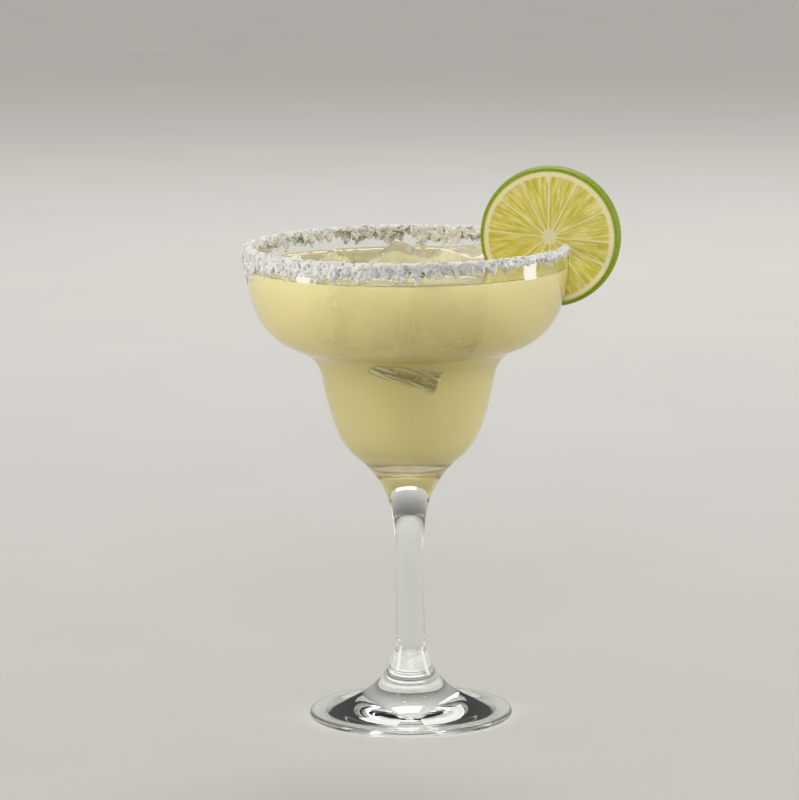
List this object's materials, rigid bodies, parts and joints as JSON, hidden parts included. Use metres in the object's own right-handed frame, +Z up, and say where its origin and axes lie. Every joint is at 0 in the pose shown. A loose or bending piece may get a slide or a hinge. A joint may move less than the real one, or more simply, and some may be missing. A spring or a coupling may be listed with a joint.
{
  "type": "margarita cocktail",
  "caption": "Margarita in a two-tiered stemmed glass, filled almost to the salted rim, with floating ice and a lime wheel slotted over the rim.",
  "frame": {"origin": "centre of the glass's foot, on the surface it stands on", "axes": "+Z up along the glass's axis, +X towards the lime wheel, -Y towards the front"},
  "size_m": [0.1351, 0.116, 0.2013],
  "materials": {
    "clear_glass": "clear, polished, with coarse salt round the rim",
    "drink": "pale yellow cloudy liquid with a wet gloss",
    "lime": "moist citrus flesh with a pale pith and a green waxy rind",
    "ice": "clear wet ice with melted edges"
  },
  "bodies": {
    "root": {"glass": "clear_glass", "drink": "drink", "lime_wheel": "lime", "ice_cube_middle": "ice", "ice_cube_left": "ice", "ice_cube_right": "ice", "ice_cube_front_left": "ice", "ice_cube_front_right": "ice"}
  },
  "joints": []
}
